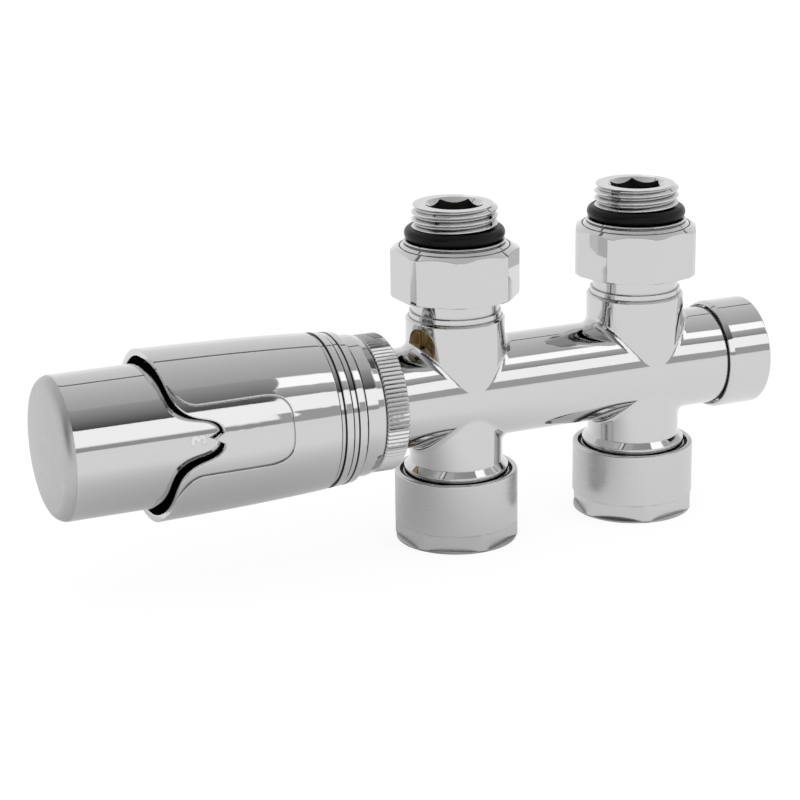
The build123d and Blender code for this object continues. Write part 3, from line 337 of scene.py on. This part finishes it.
def make_turned_chrome():
    """Plating over turned brass: fine lines run around the nut and draw its highlights upright."""
    colour = (TURNED, TURNED, TURNED)
    material, tree, shader = new_material("turned_chrome", colour, 1.0, 0.24, Anisotropic=0.75)
    around = tree.nodes.new("ShaderNodeTangent")
    around.direction_type = "RADIAL"
    around.axis = "Z"
    tree.links.new(around.outputs["Tangent"], shader.inputs["Tangent"])
    roughness_from_noise(tree, shader, scale=150, low=0.2, high=0.28, stretch=(1, 1, 30))
    soft_edges(tree, shader, radius=0.0003, scale=150, height=0.000003, stretch=(1, 1, 60))
    paint_corner_shade(tree, shader, colour)
    return material


def make_drum_chrome():
    """The drum's plating: bright round its side, and satin with a fine grain over its end."""
    colour = (BRIGHT, BRIGHT, BRIGHT)
    material, tree, shader = new_material("drum_chrome", colour, 1.0, 0.03)
    soft_edges(tree, shader, radius=0.0004, scale=60, height=0.000006)
    paint_corner_shade(tree, shader, colour)
    grain = node_of(tree, "ShaderNodeBsdfPrincipled", Metallic=1.0, Roughness=0.42)
    grain.inputs["Base Color"].default_value = (SATIN, SATIN, SATIN, 1)
    roughness_from_noise(tree, grain, scale=400, low=0.38, high=0.46)
    soft_edges(tree, grain, radius=0.0003, scale=6000, height=0.000004)
    on_end = between_places(tree, [DRUM_END])
    finish = mix_by(tree, on_end, shader.outputs[0], grain.outputs[0])
    tree.links.new(finish, tree.nodes["Material Output"].inputs["Surface"])
    return material


def make_chrome_with_shade_bands(name, places):
    """Bright plating with painted shade in the corners of turned grooves, between pairs of places."""
    colour = (BRIGHT, BRIGHT, BRIGHT)
    material, tree, shader = new_material(name, colour, 1.0, 0.03)
    roughness_from_noise(tree, shader, scale=90, low=0.02, high=0.05)
    soft_edges(tree, shader, radius=0.0005, scale=60, height=0.000006)
    plating = paint_corner_shade(tree, shader, colour)
    # Painted shade: the plating's colour turns near-black between the places, for grooves and gaps
    tone = tree.nodes.new("ShaderNodeMix")
    tone.data_type = "RGBA"
    tone.inputs["B"].default_value = (GROOVE, GROOVE, GROOVE, 1)
    tree.links.new(between_places(tree, places), tone.inputs["Factor"])
    tree.links.new(plating, tone.inputs["A"])
    tree.links.new(tone.outputs["Result"], shader.inputs["Base Color"])
    return material


def make_brass(name, colour, dark):
    """Machined brass with a fine uneven surface and a patchy film of oxide."""
    material, tree, shader = new_material(name, colour, 1.0, 0.3)
    film = colour_ramp(tree, noise_of(tree, 260, 5), (0.35, dark), (0.65, colour))
    tree.links.new(film, shader.inputs["Base Color"])
    roughness_from_noise(tree, shader, scale=700, low=0.22, high=0.4)
    soft_edges(tree, shader, radius=0.0002, scale=3000, height=0.00001)
    return material


def make_rubber():
    """Black rubber with a satin skin and faint mould texture."""
    material, tree, shader = new_material(
        "black_rubber", (0.004, 0.004, 0.004), 0.0, 0.35, Specular_IOR_Level=0.15
    )
    roughness_from_noise(tree, shader, scale=500, low=0.26, high=0.4)
    soft_edges(tree, shader, radius=0.0001, scale=2500, height=0.00002)
    return material


def make_oxide_and_shade_bore():
    """Unplated, oxidised metal inside a socket, made near-black as painted shade of the socket's unlit
    inside.
    """
    material, tree, shader = new_material("oxide_and_shade_bore", (0.02, 0.018, 0.016), 0.6, 0.5)
    roughness_from_noise(tree, shader, scale=800, low=0.42, high=0.6)
    soft_edges(tree, shader, radius=0.0001, scale=2500, height=0.00001)
    return material


def make_steel():
    """Drawn spring steel, slightly brushed."""
    material, tree, shader = new_material("spring_steel", (0.42, 0.42, 0.43), 1.0, 0.3)
    roughness_from_noise(tree, shader, scale=900, low=0.22, high=0.38, stretch=(1, 1, 6))
    soft_edges(tree, shader, radius=0.0001, scale=4000, height=0.000004)
    return material


def make_plastic(name, colour):
    """Moulded plastic with a fine grain."""
    material, tree, shader = new_material(name, colour, 0.0, 0.5)
    roughness_from_noise(tree, shader, scale=300, low=0.4, high=0.6)
    soft_edges(tree, shader, radius=0.0002, scale=5000, height=0.00001)
    return material


CHROME = make_chrome(
    "chrome", grey=BRIGHT, low=0.02, high=0.05, edge=0.0004, wave_scale=60, wave_height=0.000006
)
CAST_CHROME = make_chrome(
    "cast_chrome", grey=BRIGHT, low=0.025, high=0.06, edge=0.00025, wave_scale=120, wave_height=0.00002
)
TURNED_CHROME = make_turned_chrome()
DRUM_CHROME = make_drum_chrome()
SLEEVE_CHROME = make_chrome_with_shade_bands("sleeve_chrome", GROOVE_SHADE_BANDS)
BASE_CHROME = make_chrome_with_shade_bands("base_chrome", [BASE_GAP_SHADE_BAND])
BRASS = make_brass("bare_brass", (0.62, 0.43, 0.19), (0.42, 0.27, 0.11))
SCREW_BRASS = make_brass("screw_brass", (0.45, 0.36, 0.2), (0.22, 0.17, 0.085))
RUBBER = make_rubber()
OXIDE_AND_SHADE_BORE = make_oxide_and_shade_bore()
STEEL = make_steel()
INNER_PLASTIC = make_plastic("inner_plastic", (0.75, 0.75, 0.73))
PRINT = make_plastic("white_print", (0.95, 0.95, 0.95))
CAPSULE = make_chrome(
    "capsule_metal", grey=0.6, low=0.25, high=0.35, edge=0.0003, wave_scale=200, wave_height=0.00001
)

SLOT_MATERIALS = {
    "chrome_brass": CAST_CHROME,
    "chrome_plastic": CHROME,
    "bare_brass": BRASS,
    "spring_steel": STEEL,
    "black_rubber": RUBBER,
    "inner_plastic": INNER_PLASTIC,
    "capsule_metal": CAPSULE,
}
NODE_MATERIALS = {
    "side_screw": SCREW_BRASS,
    "dial_drum": DRUM_CHROME,
    "head_sleeve": SLEEVE_CHROME,
    "head_base": BASE_CHROME,
    "compression_nut_left": TURNED_CHROME,
    "compression_nut_right": TURNED_CHROME,
}
node_slots = {row["node"]: row["material_slot"] for row in frame["record"]["subparts"]}
for name, node in frame["nodes"].items():
    node.data.materials.clear()
    node.data.materials.append(NODE_MATERIALS.get(name, SLOT_MATERIALS[node_slots[name]]))


def thread_radius(phase):
    """Radius of the thread's flank at a share of the pitch."""
    points = (*THREAD_PROFILE, (1.0, ROOT_R))
    for (low, low_r), (high, high_r) in zip(points, points[1:]):
        if phase <= high:
            return low_r + (high_r - low_r) * (phase - low) / (high - low)
    return ROOT_R


def thread_point(angle, rise):
    """Radius and height of a thread row that climbs with the angle, held between the thread's ends."""
    height = THREAD_Z + rise + THREAD_PITCH * angle / (2 * math.pi)
    height = min(max(height, THREAD_Z), NIPPLE_TOP_Z)
    climb = (height - THREAD_Z) / THREAD_PITCH - angle / (2 * math.pi)
    lead = (NIPPLE_TOP_Z - height) / THREAD_LEAD
    lead_r = THREAD_TOP_R + (CREST_R - THREAD_TOP_R) * lead
    return min(thread_radius(climb % 1.0), lead_r), height


def nipple_rows(turn):
    """Rows of the nipple's closed half section, each giving radius and height at an angle."""
    flange_step_z = FLANGE_Z + FLANGE_STEP
    flange_land_z = FLANGE_TOP_Z - FLANGE_LAND
    lower = [
        (BORE_R, NOSE_Z["end"]),
        (NOSE_R, NOSE_Z["end"]),
        (NOSE_R, NOSE_Z["groove"]),
        (NOSE_GROOVE_R, NOSE_Z["groove"]),
        (NOSE_GROOVE_R, NOSE_Z["groove_top"]),
        (NOSE_R, NOSE_Z["groove_top"]),
        (NOSE_R, NOSE_Z["cone"]),
        (SHOULDER_R, NOSE_Z["shoulder"]),
        (STEM_R, NOSE_Z["shoulder"]),
        (STEM_R, CLIP_GROOVE_Z[0]),
        (CLIP_GROOVE_R, CLIP_GROOVE_Z[0]),
        (CLIP_GROOVE_R, CLIP_GROOVE_Z[1]),
        (STEM_R, CLIP_GROOVE_Z[1]),
        (STEM_R, FLANGE_Z),
        (FLANGE_R, FLANGE_Z),
        (FLANGE_R, FLANGE_Z + FLANGE_RIM),
        (FLANGE_STEP_R, flange_step_z),
        (FLANGE_GROOVE_R, flange_step_z),
        (FLANGE_GROOVE_R, flange_land_z - FLANGE_LAND),
        (FLANGE_STEP_R, flange_land_z),
        (FLANGE_STEP_R - FLANGE_LAND, FLANGE_TOP_Z),
        (RING_SEAT_R, FLANGE_TOP_Z),
        (RING_SEAT_R, THREAD_Z),
    ]
    rows = [lambda angle, point=point: point for point in lower]
    turns = math.ceil((NIPPLE_TOP_Z - THREAD_Z) / THREAD_PITCH)
    for turn_number in range(-THREAD_EARLY_TURNS, turns + 1):
        for share, _ in THREAD_PROFILE:
            rise = (turn_number + share) * THREAD_PITCH
            rows.append(lambda angle, rise=rise: thread_point(angle, rise))

    def hex_radius(angle):
        """Distance of the hexagon's side from its middle at an angle."""
        off_flat = (angle - turn) % HEX_SIDE - HEX_SIDE / 2
        return HEX_INNER_R / math.cos(off_flat)

    rows += [
        lambda angle: (HEX_MOUTH_R, NIPPLE_TOP_Z),
        lambda angle: (hex_radius(angle), NIPPLE_TOP_Z - HEX_MOUTH_R + hex_radius(angle)),
        lambda angle: (hex_radius(angle), NIPPLE_TOP_Z - HEX_DEPTH),
        lambda angle: (BORE_R, NIPPLE_TOP_Z - HEX_DEPTH),
        lambda angle: (BORE_R, NOSE_Z["end"]),
    ]
    return rows


def make_nipple(side):
    """The nipple with its cut thread, in place of the plain turned one."""
    turn = HEX_TURN[side]
    rows = nipple_rows(turn)
    shape = bmesh.new()
    grid = []
    for column in range(NIPPLE_COLUMNS + 1):
        angle = turn + 2 * math.pi * column / NIPPLE_COLUMNS
        ring = []
        for row in rows:
            radius, height = row(angle)
            x = PORT_X[side] + radius * MM * math.cos(angle)
            ring.append(shape.verts.new((x, radius * MM * math.sin(angle), height * MM)))
        grid.append(ring)
    for left, right in zip(grid, grid[1:]):
        for low in range(len(rows) - 1):
            face = shape.faces.new((left[low], right[low], right[low + 1], left[low + 1]))
            face.material_index = int(low >= len(rows) - SOCKET_ROWS)
    bmesh.ops.remove_doubles(shape, verts=shape.verts, dist=MERGE_DISTANCE)
    bmesh.ops.dissolve_degenerate(shape, edges=shape.edges, dist=MERGE_DISTANCE)
    bmesh.ops.recalc_face_normals(shape, faces=shape.faces)
    mesh = bpy.data.meshes.new(f"threaded_nipple_{side}")
    shape.to_mesh(mesh)
    shape.free()
    nipple = add_object(f"threaded_nipple_{side}", mesh)
    set_smooth(nipple, NIPPLE_SHARP_ANGLE)
    mesh.materials.append(CAST_CHROME)
    # The socket's inside: oxidised metal with painted shade
    mesh.materials.append(OXIDE_AND_SHADE_BORE)
    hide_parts(f"nipple_{side}")
    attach(nipple, "valve")


def flat_sign(text, name):
    """A mesh of one raised sign, lying flat with its middle at the origin."""
    data = bpy.data.curves.new(name, "FONT")
    data.body = text
    data.size = NUMERAL_HEIGHT / HEIGHT_OF_SIZE
    data.align_x = "CENTER"
    data.extrude = NUMERAL_THICKNESS / 2
    data.offset = NUMERAL_WEIGHT
    data.resolution_u = CURVE_STEPS
    flat = add_object(f"{name}_flat", data)
    bpy.context.view_layer.update()
    mesh = bpy.data.meshes.new_from_object(flat.evaluated_get(bpy.context.evaluated_depsgraph_get()))
    bpy.data.objects.remove(flat)
    return mesh


def make_numeral(text, turn, name):
    """A raised print of one sign, bent round the drum, its top towards the drum's end."""
    mesh = flat_sign(text, name)
    shape = bmesh.new()
    shape.from_mesh(mesh)
    bmesh.ops.remove_doubles(shape, verts=shape.verts, dist=MERGE_DISTANCE)
    width = max(abs(vert.co.x) for vert in shape.verts)
    for cut in range(1, NUMERAL_CUTS):
        place = Vector((width * (2 * cut / NUMERAL_CUTS - 1), 0, 0))
        parts = shape.verts[:] + shape.edges[:] + shape.faces[:]
        bmesh.ops.bisect_plane(shape, geom=parts, plane_co=place, plane_no=(1, 0, 0))
    for vert in shape.verts:
        angle = turn + vert.co.x / DRUM_R
        radius = DRUM_R + NUMERAL_THICKNESS / 2 + vert.co.z
        x = NUMERAL_TOP_X + NUMERAL_HEIGHT - vert.co.y
        vert.co = Vector((x, -radius * math.cos(angle), AXIS_Z + radius * math.sin(angle)))
    bmesh.ops.recalc_face_normals(shape, faces=shape.faces)
    shape.to_mesh(mesh)
    shape.free()
    mesh.name = name
    mesh.materials.clear()
    mesh.materials.append(PRINT)
    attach(add_object(name, mesh), "dial")


for side in PORT_X:
    make_nipple(side)
for number, text in enumerate(NUMERALS):
    make_numeral(text, FRONT_ANGLE + (FRONT_NUMERAL - number) * NUMERAL_STEP, f"numeral_{number}")


def lit_white(tree, matt, glow):
    """A pale surface that keeps shadows in its matt part and glows evenly besides."""
    dim = node_of(tree, "ShaderNodeBsdfDiffuse", Color=(matt, matt, matt, 1))
    lit = tree.nodes.new("ShaderNodeAddShader")
    tree.links.new(dim.outputs[0], lit.inputs[0])
    tree.links.new(glow.outputs[0], lit.inputs[1])
    return lit.outputs[0]


def glow_with_painted_head_shadow(tree):
    """The glow that metal mirrors in the floor, dimmer under the head as a painted shadow of it."""
    place = tree.nodes.new("ShaderNodeTexCoord")
    spread = node_of(
        tree,
        "ShaderNodeMapping",
        Location=(-DIM_X / DIM_HALF_X, 0, 0),
        Scale=(1 / DIM_HALF_X, 1 / DIM_HALF_Y, 1),
    )
    distance = tree.nodes.new("ShaderNodeVectorMath")
    distance.operation = "LENGTH"
    tree.links.new(place.outputs["Object"], spread.inputs["Vector"])
    tree.links.new(spread.outputs["Vector"], distance.inputs[0])
    fade = map_range(tree, distance.outputs["Value"], DIM_EDGES, DIM_GLOWS)
    fade.interpolation_type = "SMOOTHSTEP"
    glow = node_of(tree, "ShaderNodeEmission", Color=(1, 1, 1, 1))
    tree.links.new(fade.outputs["Result"], glow.inputs["Strength"])
    return glow


def make_floor():
    """Pale floor whose own white shows to the camera and in metal, with the object's shadow kept, and
    with a painted shadow under the head in metal.
    """
    mesh = bpy.data.meshes.new("floor")
    shape = bmesh.new()
    bmesh.ops.create_grid(shape, x_segments=1, y_segments=1, size=FLOOR_HALF)
    shape.to_mesh(mesh)
    shape.free()
    add_object("floor", mesh)
    material, tree = empty_material("pale_floor")
    path = tree.nodes.new("ShaderNodeLightPath")
    plain = node_of(tree, "ShaderNodeBsdfDiffuse", Color=(FLOOR_MATT, FLOOR_MATT, FLOOR_MATT, 1))
    in_metal = larger_of(tree, path.outputs["Is Glossy Ray"], path.outputs["Is Transmission Ray"])
    mirrored = lit_white(tree, FLOOR_IN_METAL, glow_with_painted_head_shadow(tree))
    matt, glow = FLOOR_SEEN
    seen = lit_white(tree, matt, node_of(tree, "ShaderNodeEmission", Color=(1, 1, 1, 1), Strength=glow))
    surface = mix_by(tree, in_metal, plain.outputs[0], mirrored)
    surface = mix_by(tree, path.outputs["Is Camera Ray"], surface, seen)
    tree.links.new(surface, tree.nodes["Material Output"].inputs["Surface"])
    mesh.materials.append(material)


def make_world():
    """A white world that lights less than it shows to the camera, in metal and through glass."""
    world = bpy.data.worlds.new("studio")
    bpy.context.scene.world = world
    world.use_nodes = True
    tree = world.node_tree
    tree.nodes.clear()
    light = node_of(tree, "ShaderNodeBackground", Color=(1, 1, 1, 1), Strength=WORLD_LIGHT)
    white = node_of(tree, "ShaderNodeBackground", Color=(1, 1, 1, 1), Strength=WORLD_SEEN)
    path = tree.nodes.new("ShaderNodeLightPath")
    seen = larger_of(tree, path.outputs["Is Camera Ray"], path.outputs["Is Glossy Ray"])
    seen = larger_of(tree, seen, path.outputs["Is Transmission Ray"])
    output = tree.nodes.new("ShaderNodeOutputWorld")
    surface = mix_by(tree, seen, light.outputs[0], white.outputs[0])
    tree.links.new(surface, output.inputs["Surface"])


def place_around(obj, angles, places, distance):
    """Puts an object in the middle of its angles and places on a circle, its -Z towards the body."""
    turn = math.radians(sum(angles) / 2)
    out = Vector((0, -math.cos(turn), math.sin(turn)))
    along = Vector((1, 0, 0))
    obj.matrix_world = Matrix((along, out.cross(along), out)).transposed().to_4x4()
    obj.location = Vector((sum(places) / 2, 0, AXIS_Z)) + out * distance


def strip_width(angles, distance):
    """Width of a strip between two angles on a circle."""
    return 2 * distance * math.tan(math.radians(angles[1] - angles[0]) / 2)


def soft_box(name, angles, places, radiance):
    """A long lamp, whose radiance comes on top of the white world behind it."""
    data = bpy.data.lights.new(name, "AREA")
    data.shape = "RECTANGLE"
    data.size = places[1] - places[0]
    data.size_y = strip_width(angles, LAMP_DISTANCE)
    data.energy = radiance * math.pi * data.size * data.size_y
    place_around(add_object(name, data), angles, places, LAMP_DISTANCE)


def only_in_metal(name, corners):
    """A flat piece of the studio that shows in reflections alone and casts no shadow."""
    mesh = bpy.data.meshes.new(name)
    mesh.from_pydata(corners, [], [(0, 1, 2, 3)])
    card = add_object(name, mesh)
    card.visible_camera = False
    card.visible_diffuse = False
    card.visible_shadow = False
    return card


def add_glow(card, tones, half_width):
    """Gives a card a glow whose tone runs between two values over its own Y."""
    material, tree = empty_material(card.name)
    place = tree.nodes.new("ShaderNodeTexCoord")
    split = tree.nodes.new("ShaderNodeSeparateXYZ")
    tree.links.new(place.outputs["Object"], split.inputs["Vector"])
    ramp = map_range(tree, split.outputs["Y"], (-half_width, half_width), tones)
    glow = node_of(tree, "ShaderNodeEmission", Color=(1, 1, 1, 1))
    tree.links.new(ramp.outputs["Result"], glow.inputs["Strength"])
    tree.links.new(glow.outputs[0], tree.nodes["Material Output"].inputs["Surface"])
    card.data.materials.append(material)


def make_strip(name, angles, places, tones):
    """A strip that only metal shows, its tone running from its lower to its upper long edge."""
    x = (places[1] - places[0]) / 2
    y = strip_width(angles, STRIP_DISTANCE) / 2
    card = only_in_metal(name, [(-x, -y, 0), (x, -y, 0), (x, y, 0), (-x, y, 0)])
    place_around(card, angles, places, STRIP_DISTANCE)
    add_glow(card, tones, y)


def make_wall():
    """The dark wall on the left."""
    (front, back), (low, high) = WALL_Y, WALL_Z
    corners = [(WALL_X, front, low), (WALL_X, back, low), (WALL_X, back, high), (WALL_X, front, high)]
    add_glow(only_in_metal("left_wall", corners), (WALL_TONE, WALL_TONE), 1.0)


def make_camera():
    """The camera, turned by its yaw, pitch and roll from a level view along +Y."""
    data = bpy.data.cameras.new("camera")
    data.sensor_width = SENSOR
    data.lens = FOCAL_PIXELS * SENSOR / IMAGE_SIZE
    data.clip_end = CAMERA_REACH
    level_right = Vector((math.cos(CAMERA_YAW), math.sin(CAMERA_YAW), 0))
    level_ahead = Vector((-math.sin(CAMERA_YAW), math.cos(CAMERA_YAW), 0))
    up = Vector((0, 0, 1))
    ahead = level_ahead * math.cos(CAMERA_PITCH) - up * math.sin(CAMERA_PITCH)
    above = level_ahead * math.sin(CAMERA_PITCH) + up * math.cos(CAMERA_PITCH)
    right = level_right * math.cos(CAMERA_ROLL) + above * math.sin(CAMERA_ROLL)
    top = above * math.cos(CAMERA_ROLL) - level_right * math.sin(CAMERA_ROLL)
    camera = add_object("camera", data)
    camera.matrix_world = Matrix((right, top, -ahead)).transposed().to_4x4()
    camera.location = CAMERA_PLACE
    bpy.context.scene.camera = camera


make_floor()
make_world()
for lamp in SOFT_BOXES:
    soft_box(*lamp)
for strip in STRIPS:
    make_strip(*strip)
make_wall()
make_camera()
bpy.context.scene.view_settings.view_transform = "Standard"
